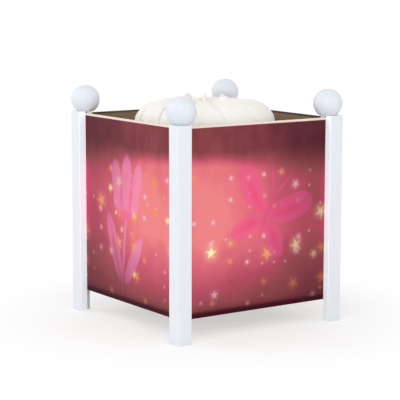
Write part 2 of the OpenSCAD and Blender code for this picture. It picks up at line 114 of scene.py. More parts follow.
class LanternColours(bpy.types.PropertyGroup):
    """Colours of the pieces"""

    lacquer: colour("Lacquer", "Colour of the posts", "e7ebf2")
    glow: colour("Panel glow", "Brightest colour of a lit panel", "ee8486")
    motif: colour("Motif", "Colour of the butterfly and the balloon", "f05c8c")
    bloom: colour("Bloom", "Colour of the tulip and the moon", "f290ba")
    strip: colour("Bare strip", "Colour of a panel's unprinted top edge", "e8d0c8")
    vane: colour("Vanes", "Colour of the vanes' sheet", "f7f6f2")
    star: colour("Star", "Colour of the brightest stars", "fff2b4")
    lamp: colour("Lamp", "Colour of the bulb's light", "ffe8cc")


def sizes():
    return bpy.context.scene.lantern_sizes


def colours():
    return bpy.context.scene.lantern_colours


# ---- Building meshes ----


def new_piece(name, verts, faces, material, smooth=True):
    """A mesh object at the origin, from points in metres."""
    mesh = bpy.data.meshes.new(name)
    mesh.from_pydata([tuple(v) for v in verts], [], faces)
    mesh.polygons.foreach_set("use_smooth", [smooth] * len(mesh.polygons))
    mesh.materials.append(material)
    mesh.update()
    obj = bpy.data.objects.new(name, mesh)
    bpy.context.scene.collection.objects.link(obj)
    return obj


def settle(obj):
    """Turns an object with modifiers into a plain mesh at the origin."""
    bpy.context.view_layer.update()
    done = obj.evaluated_get(bpy.context.evaluated_depsgraph_get())
    mesh = bpy.data.meshes.new_from_object(done)
    old = obj.data
    obj.modifiers.clear()
    obj.data = mesh
    mesh.name = obj.name
    bpy.data.meshes.remove(old)


def add_piece(obj, body, slot, *replaced):
    """Says which body a piece rides and the solids that it stands for. Its material slot is not
    used.
    """
    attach(obj, body)
    if replaced:
        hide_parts(*replaced)


def band(steps, rings, outward=True):
    """The faces between rings of points that follow each other, each ring of as many steps."""
    faces = []
    for i in range(rings):
        low, high = i * steps, (i + 1) * steps
        for k in range(steps):
            n = (k + 1) % steps
            face = (low + k, low + n, high + n, high + k)
            faces.append(face if outward else face[::-1])
    return faces


def turned(profile, steps, offset=(0, 0)):
    """A turned shape round Z from (radius, height) pairs that run upwards on the outside.
    A radius of zero closes it with one point."""
    verts, faces, rings = [], [], []
    for r, z in profile:
        if r == 0:
            rings.append([len(verts)])
            verts.append((*offset, z))
        else:
            rings.append(list(range(len(verts), len(verts) + steps)))
            verts += [(offset[0] + r * math.cos(math.tau * k / steps),
                       offset[1] + r * math.sin(math.tau * k / steps), z) for k in range(steps)]
    for low, high in zip(rings, rings[1:]):
        for k in range(steps):
            n = (k + 1) % steps
            if len(low) == 1 and len(high) == 1:
                continue
            if len(low) == 1:
                faces.append((low[0], high[n], high[k]))
            elif len(high) == 1:
                faces.append((low[k], low[n], high[0]))
            else:
                faces.append((low[k], low[n], high[n], high[k]))
    return verts, faces


def joined(*parts):
    """Several (points, faces) pairs as one."""
    verts, faces = [], []
    for v, f in parts:
        faces += [tuple(i + len(verts) for i in face) for face in f]
        verts += v
    return verts, faces


def arc(cx, cz, r, a, b, n):
    """Points of an arc, from angle a to angle b in degrees."""
    angles = [math.radians(a + (b - a) * i / n) for i in range(n + 1)]
    return [(cx + r * math.cos(turn), cz + r * math.sin(turn)) for turn in angles]


def along(line, t):
    """A point and the way there, on a smooth line through evenly spaced points."""
    last = len(line) - 1
    i = min(int(t * last), last - 1)
    u = t * last - i
    near = line[max(i - 1, 0)], line[i], line[i + 1], line[min(i + 2, last)]
    point, way = [], []
    for a, b, c, d in zip(*near):
        slope, bend, twist = c - a, 2 * a - 5 * b + 4 * c - d, 3 * b - a - 3 * c + d
        point.append(0.5 * (2 * b + slope * u + bend * u * u + twist * u ** 3))
        way.append(0.5 * (slope + 2 * bend * u + 3 * twist * u * u))
    return point, way


def tube(path, r, steps):
    """A closed round wire along a path of points."""
    verts = []
    side = None
    for i, p in enumerate(path):
        way = Vector(path[min(i + 1, len(path) - 1)]) - Vector(path[max(i - 1, 0)])
        way.normalize()
        if side is None:
            side = way.orthogonal().normalized()
        side = (side - way * side.dot(way)).normalized()
        up = way.cross(side)
        for k in range(steps):
            a = math.tau * k / steps
            verts.append(tuple(Vector(p) + r * (math.cos(a) * side + math.sin(a) * up)))
    faces = band(steps, len(path) - 1)
    faces.append(tuple(reversed(range(steps))))
    faces.append(tuple(range(len(verts) - steps, len(verts))))
    return verts, faces


def ring_of_copies(name, material):
    """A node tree that sets copies of its geometry in a ring round Z, as one mesh."""
    tree = bpy.data.node_groups.new(name, "GeometryNodeTree")
    face = tree.interface
    face.new_socket("Geometry", in_out="INPUT", socket_type="NodeSocketGeometry")
    count = face.new_socket("Count", in_out="INPUT", socket_type="NodeSocketInt")
    face.new_socket("Geometry", in_out="OUTPUT", socket_type="NodeSocketGeometry")
    link = tree.links.new
    source, sink, points, index, step, turn, angle, place, real, paint_all = (
        tree.nodes.new(kind) for kind in (
            "NodeGroupInput", "NodeGroupOutput", "GeometryNodePoints", "GeometryNodeInputIndex",
            "ShaderNodeMath", "ShaderNodeMath", "ShaderNodeCombineXYZ",
            "GeometryNodeInstanceOnPoints", "GeometryNodeRealizeInstances",
            "GeometryNodeSetMaterial"))
    step.operation, turn.operation = "DIVIDE", "MULTIPLY"
    step.inputs[0].default_value = math.tau
    link(source.outputs["Count"], points.inputs["Count"])
    link(source.outputs["Count"], step.inputs[1])
    link(index.outputs[0], turn.inputs[0])
    link(step.outputs[0], turn.inputs[1])
    link(turn.outputs[0], angle.inputs["Z"])
    link(points.outputs[0], place.inputs["Points"])
    link(source.outputs["Geometry"], place.inputs["Instance"])
    link(angle.outputs[0], place.inputs["Rotation"])
    link(place.outputs[0], real.inputs[0])
    link(real.outputs[0], paint_all.inputs["Geometry"])
    paint_all.inputs["Material"].default_value = material
    link(paint_all.outputs[0], sink.inputs["Geometry"])
    return tree, count.identifier


def repeat_round(obj, count, material):
    """Repeats a piece round Z, in one plain mesh."""
    tree, socket = ring_of_copies(obj.name + "_ring", material)
    modifier = obj.modifiers.new("Ring", "NODES")
    modifier.node_group = tree
    modifier[socket] = count
    settle(obj)
    obj.data.materials.clear()
    obj.data.materials.append(material)


def paint(material, *names):
    """Gives a material to solids of the frame."""
    for name in names:
        NODES[name].data.materials.clear()
        NODES[name].data.materials.append(material)


# ---- Building materials ----


class Finish:
    """One material's nodes. Values are sockets, plain numbers or colours."""

    def __init__(self, name):
        self.material = bpy.data.materials.new(name)
        self.material.use_nodes = True
        self.tree = self.material.node_tree
        self.tree.nodes.clear()
        self.sink = self.add("ShaderNodeOutputMaterial")
        self.place = self.add("ShaderNodeTexCoord").outputs["Object"]

    def put(self, socket, value):
        if isinstance(value, bpy.types.NodeSocket):
            self.tree.links.new(value, socket)
        elif socket.type == "RGBA":
            socket.default_value = (*linear(value), 1)
        else:
            socket.default_value = value

    def add(self, kind, inputs=None, **settings):
        node = self.tree.nodes.new(kind)
        for key, value in settings.items():
            setattr(node, key, value)
        for key, value in (inputs or {}).items():
            self.put(node.inputs[key], value)
        return node

    def math(self, operation, a, b=0.0, clamp=False):
        node = self.add("ShaderNodeMath", operation=operation, use_clamp=clamp)
        self.put(node.inputs[0], a)
        self.put(node.inputs[1], b)
        return node.outputs[0]

    def times(self, value, *others):
        for other in others:
            value = self.math("MULTIPLY", value, other)
        return value

    def plus(self, a, b, clamp=False):
        return self.math("ADD", a, b, clamp)

    def minus(self, a, b, clamp=False):
        return self.math("SUBTRACT", a, b, clamp)

    def ramp(self, value, low, high, start=0.0, end=1.0, smooth=True):
        """value from low to high, as start to end."""
        node = self.add("ShaderNodeMapRange", {"Value": value, "From Min": low, "From Max": high,
                                               "To Min": start, "To Max": end},
                        interpolation_type="SMOOTHSTEP" if smooth else "LINEAR")
        return node.outputs["Result"]

    def mix(self, share, a, b):
        node = self.add("ShaderNodeMix", data_type="RGBA")
        for i, value in ((0, share), (6, a), (7, b)):
            self.put(node.inputs[i], value)
        return node.outputs[2]

    def palette(self, value, stops, constant=False):
        node = self.add("ShaderNodeValToRGB", {"Fac": value})
        node.color_ramp.interpolation = "CONSTANT" if constant else "LINEAR"
        points = node.color_ramp.elements
        while len(points) < len(stops):
            points.new(0.5)
        for point, (at, shade) in zip(points, stops):
            point.position = at
            point.color = (*linear(shade), 1)
        return node.outputs[0]

    def noise(self, scale, detail=2.0, stretch=(1, 1, 1), roughness=0.5):
        place = self.place
        if stretch != (1, 1, 1):
            place = self.add("ShaderNodeMapping", {"Vector": place, "Scale": stretch}).outputs[0]
        return self.add("ShaderNodeTexNoise", {"Vector": place, "Scale": scale, "Detail": detail,
                                               "Roughness": roughness}).outputs["Fac"]

    def bump(self, height, depth, strength):
        return self.add("ShaderNodeBump", {"Height": height, "Distance": depth,
                                           "Strength": strength}).outputs[0]

    def split(self, vector):
        return self.add("ShaderNodeSeparateXYZ", {0: vector}).outputs

    def show(self, shader):
        """Links the last shader and gives the material."""
        self.tree.links.new(shader.outputs[0], self.sink.inputs[0])
        return self.material

    def principled(self, **inputs):
        inputs = {key.replace("_", " "): value for key, value in inputs.items()}
        return self.add("ShaderNodeBsdfPrincipled", inputs)


def lacquer(name, code=None):
    """Sprayed satin lacquer over fine-grained wood, a little greyer near the floor.
    Without a code it has the posts' colour, with painted light beside the panels: a whiter coat and
    a faint glow on the shaded reveals, fainter near the floor."""
    f = Finish(name)
    grain = f.noise(60, 6, (8, 8, 0.6), 0.6)
    peel = f.noise(900, 2)
    cloud = f.noise(28, 3)
    x, y, z = f.split(f.place)
    tone = f.mix(f.ramp(cloud, 0.3, 0.7, 0.0, 0.35), code or colours().lacquer, "e2e7ee")
    tone = f.mix(f.ramp(grain, 0.52, 0.75, 0.0, 0.2), tone, "dbe0e8")
    tone = f.mix(f.ramp(z, 0.0, 7 * MM, 0.35, 0.0), tone, "d6d6d6")
    lit = 0.0
    if not code:
        # painted light on the reveals beside the panels: a whiter coat and a faint glow, fainter
        # near the floor
        nearer = f.math("MINIMUM", f.math("ABSOLUTE", x), f.math("ABSOLUTE", y))
        beside = f.ramp(nearer, POST_SIDE + 0.4 * MM, POST_SIDE + 0.1 * MM)
        tone = f.mix(beside, tone, "fafcff")
        lit = f.times(beside, f.ramp(z, 10 * MM, 30 * MM, 0.04, 0.22))
    height = f.plus(f.times(grain, 0.7), f.times(peel, 0.3))
    return f.show(f.principled(
        Base_Color=tone, Roughness=f.ramp(cloud, 0.2, 0.8, 0.38, 0.52), Specular_IOR_Level=0.35,
        Coat_Weight=0.12, Coat_Roughness=0.3, Normal=f.bump(height, 0.12 * MM, 0.5),
        Emission_Color="c8f4ff", Emission_Strength=lit))


def timber(name, light, dark, scale):
    """Bare or primed wood, with long fibres and pores."""
    f = Finish(name)
    fibre = f.noise(scale, 8, (1, 12, 1), 0.65)
    pores = f.noise(scale * 6, 3, (1, 10, 1))
    tone = f.mix(f.ramp(fibre, 0.35, 0.7), light, dark)
    tone = f.mix(f.ramp(pores, 0.62, 0.75, 0, 0.35), tone, dark)
    return f.show(f.principled(Base_Color=tone, Roughness=f.ramp(pores, 0.3, 0.7, 0.6, 0.75),
                               Normal=f.bump(pores, 0.15 * MM, 0.5)))


def metal(name, code, roughness, stretch=(1, 1, 1), worn="8a8378"):
    """Drawn, turned or zinc-plated metal with fine tool marks and a few dull spots."""
    f = Finish(name)
    marks = f.noise(700, 4, stretch)
    spots = f.noise(120, 3)
    return f.show(f.principled(
        Base_Color=f.mix(f.ramp(spots, 0.6, 0.75, 0, 0.3), code, worn), Metallic=1.0,
        Roughness=f.ramp(marks, 0.3, 0.7, roughness - 0.07, roughness + 0.1),
        Normal=f.bump(marks, 0.04 * MM, 0.4)))


def moulded(name, code, dark, roughness, scale=160):
    """Moulded plastic or rubber with a fine grain and slow flow marks."""
    f = Finish(name)
    flow = f.noise(35, 3, (1, 1, 3))
    grain = f.noise(scale * 8, 2)
    return f.show(f.principled(
        Base_Color=f.mix(f.ramp(flow, 0.35, 0.7, 0, 0.6), code, dark), Specular_IOR_Level=0.4,
        Roughness=f.ramp(flow, 0.3, 0.7, roughness - 0.05, roughness + 0.06),
        Normal=f.bump(grain, 0.05 * MM, 0.5)))


def vane_sheet(name):
    """Thin clouded white sheet that lets the lamp's light through, with a painted glow on top,
    stronger low down.
    """
    f = Finish(name)
    fibre = f.noise(260, 4, (1, 1, 0.4))
    cloud = f.noise(45, 2)
    height = f.split(f.place)[2]
    tone = f.mix(f.ramp(cloud, 0.35, 0.7, 0, 0.5), colours().vane, "f1eee7")
    normal = f.bump(fibre, 0.12 * MM, 0.4)
    skin = f.principled(Base_Color=tone, Roughness=0.5, Normal=normal, Specular_IOR_Level=0.3,
                        Emission_Color="fbfaf4",
                        Emission_Strength=f.ramp(height, 134 * MM, 180 * MM, 0.17, 0.08))
    through = f.add("ShaderNodeBsdfTranslucent", {"Color": tone, "Normal": normal})
    return f.show(f.add("ShaderNodeMixShader", {0: 0.2, 1: skin.outputs[0], 2: through.outputs[0]}))


# ---- The printed panels and film, in mm ----

BRIGHTEST = 46.0        # from a panel's middle to its brightest place, towards its bright end
DRUM_EDGE = 139.5       # height of the painted shadow line of the drum's upper edge on a panel's middle
DRUM_EDGE_LEAN = 0.06   # rise of that edge towards the bright end, as a slope
INNER_FACE = -73.1      # y of a plane in the sheet, just short of its face towards the drum
FILM_R = 51.5
THROUGH = 1e6           # half depth of a motif, so that it is the same all through the sheet
STAR_WAIST = 0.48       # inner over outer radius of a star
TIP = math.pi / 5       # half the angle between two tips of a star


def mirrored(shapes):
    return shapes + [(-a, b, c, d, -e) for a, b, c, d, e in shapes]


# Each motif is drawn about its own middle: its place, lean and size, then the ellipses that are
# lit, deeper and cut away
MOTIFS = {
    "butterfly": {
        "at": (8, 93), "lean": 24, "size": 1.22, "colour": "motif",
        "lit": mirrored([(17, 12, 18, 8.5, -36), (23, 19, 10, 7, -20), (12, -11, 12, 6.5, 42),
                         (16, -17, 7, 5, 10), (5, 25, 0.8, 8, 24)]) + [(0, 0, 2.0, 15, 0)],
        "deep": mirrored([(15, 10, 11, 3, -36), (11, -10, 8, 2.4, 42)]) + [(0, 2, 1.4, 12, 0)],
        "cut": [],
    },
    "tulip": {
        "at": (-6, 86), "lean": 4, "size": 1.12, "colour": "bloom",
        "lit": [(0, -18, 1.5, 30, 2), (-13, -22, 6, 25, -24), (13, -27, 5.5, 21, 28),
                (0, 15, 17, 13, 0), (-13, 27, 6.5, 17, -12), (0, 30, 7, 19, 0),
                (13, 27, 6.5, 17, 12)],
        "deep": [(-6.5, 22, 1.6, 15, -5), (6.5, 22, 1.6, 15, 5), (0, 5, 11, 3, 0),
                 (-13, -22, 1.2, 20, -24)],
        "cut": [],
    },
    "balloon": {
        "at": (4, 98), "lean": 6, "size": 1.1, "colour": "motif",
        "lit": [(0, 14, 24, 26, 0), (0, -6, 14, 13, 0), (0, -15, 7, 8, 0), (-4, -27, 0.7, 9, 6),
                (4, -27, 0.7, 9, -6), (0, -38, 5.6, 4.6, 0)],
        "deep": [(0, 10, 5, 28, 0), (-16, 12, 4, 22, 9), (16, 12, 4, 22, -9), (0, -38, 5, 2, 0)],
        "cut": [],
    },
    "moon": {
        "at": (0, 96), "lean": -14, "size": 1.15, "colour": "bloom",
        "lit": [(0, 8, 28, 28, 0), (-16, -26, 17, 7, 0), (0, -22, 13, 9, 0), (17, -27, 15, 6, 0)],
        "deep": [(-18, 4, 6, 18, 12), (0, -27, 26, 3, 0)],
        "cut": [(12, 13, 23, 23, 0)],
    },
}
# Each layer of stars: its cells' side, seed, share of cells with a star, smallest and largest star;
# on the panels, where the stars are painted light cast through the film, also its strength and
# where the random number passes from one hue to the next
PANEL_STARS = ((27.0, 3.0, 0.42, 3.4, 5.6, 0.8, (0.12, 0.55, 0.74)),
               (17.0, 20.0, 0.34, 1.8, 3.1, 0.68, (0.5, 0.7, 0.9)),
               (12.0, 40.0, 0.22, 1.0, 1.7, 0.48, (0.8, 0.86, 0.95)))
FILM_STARS = ((20.0, 11.0, 0.6, 2.4, 4.0), (10.0, 23.0, 0.45, 0.8, 1.7))


def moved(f, place, at, lean, scale):
    """A place as seen from one that is moved, leant by degrees and scaled within the panel."""
    return f.add("ShaderNodeMapping", {"Vector": place, "Location": (at[0], 0, at[1]),
                                       "Rotation": (0, math.radians(lean), 0), "Scale": scale},
                 vector_type="TEXTURE").outputs[0]


def silhouette(f, place, shapes, edge=0.9):
    """Soft-edged ellipses as one mask. Each is its place across and up, half width, half height
    and lean."""
    found = None
    for across, up, half_w, half_h, lean in shapes:
        own = moved(f, place, (across, up), lean, (half_w, THROUGH, half_h))
        away = f.add("ShaderNodeVectorMath", {0: own}, operation="LENGTH").outputs["Value"]
        soft = edge / min(half_w, half_h)
        mask = f.ramp(away, 1 + soft, max(1 - soft, 0.05))
        found = mask if found is None else f.math("MAXIMUM", found, mask)
    return found


def star_layer(f, across, up, cell, seed, share, small, large, blur):
    """Stars at random in square cells. Returns their mask, their halo and a random number each."""
    col, row = (f.math("DIVIDE", v, cell) for v in (across, up))
    spot = f.add("ShaderNodeCombineXYZ", {0: f.math("FLOOR", col), 1: f.math("FLOOR", row),
                                          2: seed})
    draw = f.add("ShaderNodeTexWhiteNoise", {"Vector": spot.outputs[0]}, noise_dimensions="3D")
    shift, rise, pick = f.split(draw.outputs["Color"])
    # a star's middle keeps to the middle two fifths of its cell
    du, dz = (f.minus(f.math("FRACT", v), f.plus(f.times(r, 0.4), 0.3))
              for v, r in ((col, shift), (row, rise)))
    size = f.ramp(pick, 0, 1, small / cell, large / cell, False)
    away = f.math("DIVIDE", f.math("SQRT", f.plus(f.times(du, du), f.times(dz, dz))), size)
    # the angle from the nearest tip, and how far out that star's side lies there
    turn = f.plus(f.math("ARCTAN2", du, dz), f.times(rise, 6.0))
    angle = f.math("PINGPONG", turn, TIP)
    side = f.plus(f.times(f.math("COSINE", angle), STAR_WAIST * math.sin(TIP)),
                  f.times(f.math("SINE", angle), 1 - STAR_WAIST * math.cos(TIP)))
    edge = f.math("DIVIDE", f.times(away, side), STAR_WAIST * math.sin(TIP))
    there = f.math("LESS_THAN", draw.outputs["Value"], share)
    mask = f.ramp(edge, f.plus(1.0, blur), f.minus(1.0, blur))
    halo = f.ramp(away, 2.1, 0.5, 0, 0.2)
    return f.times(mask, there), f.times(halo, there), pick


def panel_print(name, turn, bright_side, dim, pink_end, motif):
    """A translucent sheet with a printed motif; the bulb's light through it is painted on as a glow
    from dark to pink, brightest where the drum stands behind it.
    """
    f = Finish(name)
    place = f.add("ShaderNodeMapping", {"Vector": f.place, "Scale": (1 / MM,) * 3,
                                        "Rotation": (0, 0, math.radians(turn))}).outputs[0]
    across, inward, up = f.split(place)
    away = f.math("ABSOLUTE", f.minus(across, bright_side * BRIGHTEST))
    sideways = f.ramp(away, 10, 118, 1.0, dim)
    upwards = f.times(f.ramp(up, 14, 80, 0.25, 1.0, False), f.ramp(up, 108, 145, 1.0, 0.85))
    # painted shadow above the drum's upper edge: its line is softer and lower at the dim end
    over = f.minus(up, f.plus(f.times(across, bright_side * DRUM_EDGE_LEAN), DRUM_EDGE))
    blur = f.ramp(away, 20, 110, 7.5, 19.0, False)
    shade = f.ramp(away, 20, 110, 0.37, 0.27)
    drum_edge_shadow = f.ramp(f.math("DIVIDE", over, blur), -1, 1, 1.0, shade)
    patches = f.ramp(f.noise(26, 3), 0.25, 0.75, 0.92, 1.07)
    streaks = f.ramp(f.noise(72, 2, (1, 1, 0.5)), 0.3, 0.7, f.ramp(drum_edge_shadow, 0.4, 0.9, 0.84, 0.97),
                     f.ramp(drum_edge_shadow, 0.4, 0.9, 1.16, 1.03))
    # painted light: the bulb's glow through the sheet, fading sideways and downwards, patchy, and
    # shaded above the drum's edge
    light = f.times(sideways, upwards, drum_edge_shadow, patches, streaks)
    tone = f.palette(light, [(0.0, "2c1015"), (0.12, "5a2730"), (0.25, "7a363f"),
                             (0.38, "8e464b"), (0.55, "b44b60"), (0.72, "cf5f72"),
                             (0.88, "e4727c"), (1.0, colours().glow)])
    # painted light: the sheet glows pink along its dim end, near the post
    ending = f.times(f.ramp(f.times(across, -bright_side), 60.5, 66.5), f.ramp(up, 58, 84),
                     f.ramp(up, 138, 116))
    tone = f.mix(f.times(ending, pink_end), tone, "e23a74")
    plan = MOTIFS[motif]
    own = moved(f, place, plan["at"], plan["lean"], (plan["size"],) * 3)
    lit = silhouette(f, own, plan["lit"])
    if plan["cut"]:
        lit = f.minus(lit, silhouette(f, own, plan["cut"]), True)
    deep = f.times(silhouette(f, own, plan["deep"], 2.0), lit)
    # the motif's print is lighter where the painted glow is brighter
    pink = f.mix(f.ramp(light, 0.1, 0.9), "8c3a5c", getattr(colours(), plan["colour"]))
    core = f.mix(f.ramp(light, 0.2, 0.9), "7a2a4c", "ee3f78")
    tone = f.mix(f.times(lit, 0.66), tone, pink)
    tone = f.mix(f.times(deep, 0.45), tone, core)
    # painted light: the drum's stars cast on the sheet, sharper near the bright end, only where the
    # glow is bright below the drum's edge, fainter over the motif
    soft = f.ramp(away, 20, 110, 0.4, 1.0)
    bright = f.times(f.ramp(light, 0.25, 0.85, 0.3, 1.0), f.ramp(over, -2, -11))
    clear = f.times(bright, f.ramp(lit, 0, 1, 1.0, 0.35))
    hues = ("f6bccb", "f08f5c", colours().star, "f2a374")
    for cell, seed, share, small, large, power, ends in PANEL_STARS:
        mask, halo, pick = star_layer(f, across, up, cell, seed + turn, share, small, large, soft)
        shine = f.palette(pick, list(zip((0.0, *ends), hues)), True)
        glow = f.plus(f.times(mask, power), halo, True)
        tone = f.mix(f.times(glow, clear), tone, shine)
    # painted shadow of the board behind the foot of the panel, and the sheet's bare upper edge
    foot = f.plus(f.ramp(up, 28.0, 23.5, 0, 0.3, False), f.ramp(up, 24.2, 21.4, 0, 0.7, False))
    tone = f.mix(foot, tone, "3c0c18")
    bare = f.ramp(up, 167.4, 167.9)
    tone = f.mix(bare, tone, colours().strip)
    # the face towards the drum, which isn't lit up: its dark brown is painted shade, darker along
    # the top edge and pinker lower down
    streak = f.noise(90, 3, (1, 1, 10))
    within = f.mix(f.ramp(up, 166.8, 168.6), "8a745f", "4a4032")
    within = f.mix(f.ramp(streak, 0.35, 0.7, 0, 0.3), within, "6a5a49")
    within = f.mix(f.ramp(up, 152, 126), within, "8c4852")
    inner = f.math("GREATER_THAN", inward, INNER_FACE)
    tone = f.mix(inner, tone, within)
    base = f.mix(f.math("MAXIMUM", inner, bare), f.mix(0.74, tone, (0, 0, 0)), tone)
    power = f.times(f.minus(1.0, inner), f.ramp(bare, 0, 1, 0.74, 0.1, False))
    return f.show(f.principled(Base_Color=base, Roughness=0.4, Specular_IOR_Level=0.05,
                               Emission_Color=tone, Emission_Strength=power,
                               Normal=f.bump(f.noise(1400, 2), 0.03 * MM, 0.4)))


def film_print(name):
    """The drum's film: rose with printed stars, lighter and glowing near the bulb's height as
    painted light.
    """
    f = Finish(name)
    x, y, z = f.split(f.place)
    round_it = f.times(f.math("ARCTAN2", y, x), FILM_R)
    up = f.times(z, 1 / MM)
    light = f.times(f.ramp(up, 30, 92, 0.35, 1.0), f.ramp(up, 133, 100, 0.6, 1.0))
    tone = f.mix(light, "a8586a", "f0a0a2")
    for layer in FILM_STARS:
        mask, halo, pick = star_layer(f, round_it, up, *layer, 0.1)
        shine = f.palette(pick, [(0.0, "fbd6da"), (0.3, "f7b070"), (0.55, "fff4b8"),
                                 (0.8, "ffd0a0")], True)
        tone = f.mix(f.plus(mask, f.times(halo, 0.5), True), tone, shine)
    return f.show(f.principled(Base_Color=f.mix(0.5, tone, (0, 0, 0)), Roughness=0.35,
                               Specular_IOR_Level=0.3, Emission_Color=tone,
                               Emission_Strength=f.ramp(light, 0.3, 1.0, 0.15, 0.4),
                               Normal=f.bump(f.noise(900, 2), 0.03 * MM, 0.3)))


# ---- Operators ----


class LanternStep(bpy.types.Operator):
    """One step of finishing the lantern"""

    bl_options = {"REGISTER", "UNDO"}


class LANTERN_OT_posts(LanternStep):
    """Lacquers the posts and gives the dowels and the board their wood"""

    bl_idname = "lantern.posts"
    bl_label = "Posts and board"

    def execute(self, context):
        paint(lacquer("post_lacquer"), *("post_" + c for c in CORNERS))
        paint(timber("dowel_beech", "dcbb8a", "b98f5c", 90), "finial_dowels")
        paint(timber("board_primer", "e4ded0", "c4b9a4", 50), "base_board")
        return {"FINISHED"}


class LANTERN_OT_finials(LanternStep):
    """Turns the four balls, each with its flat seat and blind bore"""

    bl_idname = "lantern.finials"
    bl_label = "Ball finials"

    def execute(self, context):
        s = sizes()
        # painted shade: the balls' lacquer is a little darker than the posts', to tone down the
        # light they catch
        finish = lacquer("ball_lacquer", "e0e5ed")
        r = s.ball_d / 2
        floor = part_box("finial_front")[0].z
        centre = floor + s.ball_rise
        seat = math.degrees(math.asin(-s.ball_rise / r))
        seat_r = r * math.cos(math.radians(seat))
        bore_r, bore_top = 1.75 * MM, floor + 9 * MM
        profile = [(0, bore_top), (bore_r, bore_top), (bore_r, floor),
                   (seat_r - 0.5 * MM, floor), (seat_r - 0.1 * MM, floor + 0.04 * MM)]
        profile += arc(0, centre, r, seat + 2, 90, 44)[:-1] + [(0, centre + r)]
        reach = (HALF_WIDTH - s.ball_inset) * math.sqrt(2)
        for corner, turn in CORNERS.items():
            a = math.radians(225 + turn)
            verts, faces = turned(profile, 72, (reach * math.cos(a), reach * math.sin(a)))
            ball = new_piece("ball_" + corner, verts, faces, finish)
            add_piece(ball, "root", "white_lacquer", "finial_" + corner)
        return {"FINISHED"}


class LANTERN_OT_panels(LanternStep):
    """Prints the four panels"""

    bl_idname = "lantern.panels"
    bl_label = "Printed panels"

    def execute(self, context):
        for name, plan in PANELS.items():
            paint(panel_print(name + "_print", *plan), name)
        return {"FINISHED"}


class LANTERN_OT_crown(LanternStep):
    """Folds a pair of vanes and sets copies of it round the hub"""

    bl_idname = "lantern.crown"
    bl_label = "Vaned crown"

    # a vane's middle line from the drum's wall to the hub, as radius and height in mm
    line = ((51.5, 136.7), (54.25, 149.27), (56.5, 161.44), (55.5, 168.33), (50.85, 174.01),
            (43.9, 178.06), (28.36, 180.65), (16.91, 180.05), (8.9, 177.25))
    rows = 40
    # places across a vane, from its trailing to its leading edge, closer where the edge folds down
    across = (-1, -0.85, -0.7, -0.5, -0.3, -0.1, 0.06, 0.22, 0.38, 0.54, 0.7, 0.82, 0.88, 0.92,
              0.96, 1)
    # the two vanes of a pair aren't folded alike: shares of the crease and of the tip, and how far
    # the crease bends aside
    folds = ((1.2, 1.25, 0.3), (0.8, 0.55, -0.2))
    # slight waves of the sheet: height in mm, waves across and waves along
    waves = ((0.26, 8, 5), (0.18, -3, 11))
    tip_at = (0.88, 0.54)       # place of the pointed tip, along and across the vane
    tip_reach = (0.09, 0.46)
    hem_at = 0.84               # where the leading edge begins to fold down
    cover = (0.98, 0.2)         # width over the space for a vane: at the ends, and more between

    def point(self, t, w, k):
        """The surface of vane k of a pair, at t from the wall to the hub and w across."""
        s = sizes()
        crease, peak, bend = self.folds[k]
        (r, z), (dr, dz) = along(self.line, t)
        size = math.hypot(dr, dz)
        belly = math.sin(math.pi * t)
        rise = s.vane_lift * belly * w
        rise += crease * s.vane_crease * belly * (1 - abs(w + bend * math.sin(3 * t)) ** 0.7)
        rise += sum(h * MM * belly * math.sin(a * w + b * t) for h, a, b in self.waves)
        near_t, near_w = (max(0.0, 1 - abs(v - at) / reach)
                          for v, at, reach in zip((t, w), self.tip_at, self.tip_reach))
        rise += peak * s.vane_tip * near_t * near_w
        rise -= s.vane_hem * belly * max(0.0, (w - self.hem_at) / (1 - self.hem_at)) ** 1.5
        pitch = math.pi / s.vane_pairs
        turn = s.vane_swirl * t ** 1.5 + k * pitch
        turn += w * (self.cover[0] + self.cover[1] * belly) * pitch / 2
        radius = r * MM + rise * dz / size
        return (radius * math.cos(turn), radius * math.sin(turn), z * MM - rise * dr / size)

    def execute(self, context):
        s = sizes()
        verts, faces = [], []
        wide = len(self.across)
        for k in range(2):
            first = len(verts)
            for i in range(self.rows + 1):
                verts += [self.point(i / self.rows, w, k) for w in self.across]
            for i in range(self.rows):
                for j in range(wide - 1):
                    a = first + i * wide + j
                    faces.append((a, a + 1, a + wide + 1, a + wide))
        sheet = vane_sheet("vane_sheet")
        crown = new_piece("crown_vanes", verts, faces, sheet)
        solid = crown.modifiers.new("Sheet", "SOLIDIFY")
        solid.thickness, solid.offset = s.vane_t, 0
        settle(crown)
        repeat_round(crown, s.vane_pairs, sheet)
        add_piece(crown, "drum", "vane_sheet", "drum_vanes")
        return {"FINISHED"}


